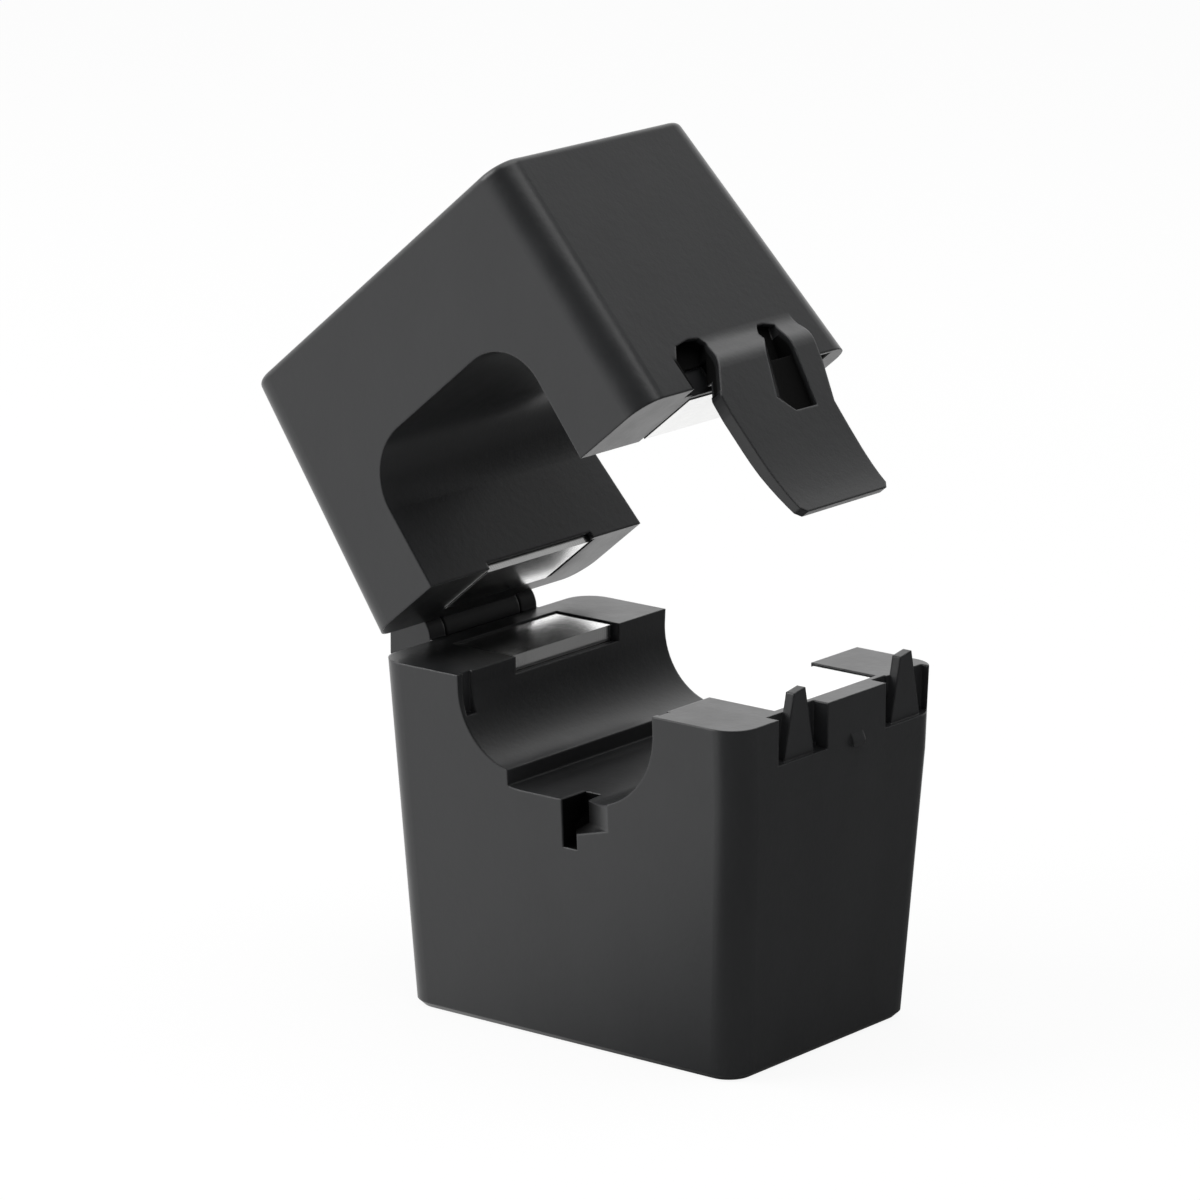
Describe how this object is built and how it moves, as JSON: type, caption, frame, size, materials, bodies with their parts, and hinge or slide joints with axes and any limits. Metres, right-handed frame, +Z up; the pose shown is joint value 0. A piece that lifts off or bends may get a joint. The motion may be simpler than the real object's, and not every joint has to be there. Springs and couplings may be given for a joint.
{
  "type": "split-core current transformer",
  "caption": "Hinged split-core current transformer with a rounded-square conductor window, a latch flap on one side and a barrel hinge on the other, shown part open.",
  "frame": {"origin": "centre of the lower half's bottom face, halfway between its walls at the parting line", "axes": "+Z up, -Y the front with the recess under the window, +X the latch side, the conductor runs along Y"},
  "size_m": [0.0633, 0.0334, 0.0874],
  "materials": {
    "housing_plastic": "fine-grained dark grey flame-retardant plastic",
    "core_steel": "cut and lapped silicon steel",
    "pin_steel": "drawn stainless wire",
    "spring_steel": "cold-rolled stainless strip",
    "bobbin_plastic": "natural moulded polyester",
    "magnet_wire": "enamelled copper",
    "polyester_tape": "thin glossy film",
    "board": "solder-masked glass epoxy",
    "chip_body": "moulded epoxy",
    "tinned_brass": "tin plated",
    "grommet_rubber": "matte"
  },
  "bodies": {
    "base": {"lower_housing": "housing_plastic", "bottom_cover": "housing_plastic", "hinge_pin": "pin_steel", "lower_core": "core_steel", "bobbin_upper": "bobbin_plastic", "bobbin_lower": "bobbin_plastic", "winding": "magnet_wire", "winding_tape": "polyester_tape", "circuit_board": "board", "burden_resistor": "chip_body", "clamp_diode": "chip_body", "output_pin_1": "tinned_brass", "output_pin_2": "tinned_brass", "winding_lead_1": "magnet_wire", "winding_lead_2": "magnet_wire", "lead_grommet": "grommet_rubber"},
    "cover": {"upper_housing": "housing_plastic", "top_cover": "housing_plastic", "upper_core": "core_steel", "core_spring": "spring_steel"}
  },
  "joints": [
    {"name": "cover_hinge", "type": "hinge", "parent": "base", "child": "cover", "pos_m": [-0.0254, 0, 0.036], "axis": [0, -1, 0], "range_deg": [-40, 70]}
  ]
}
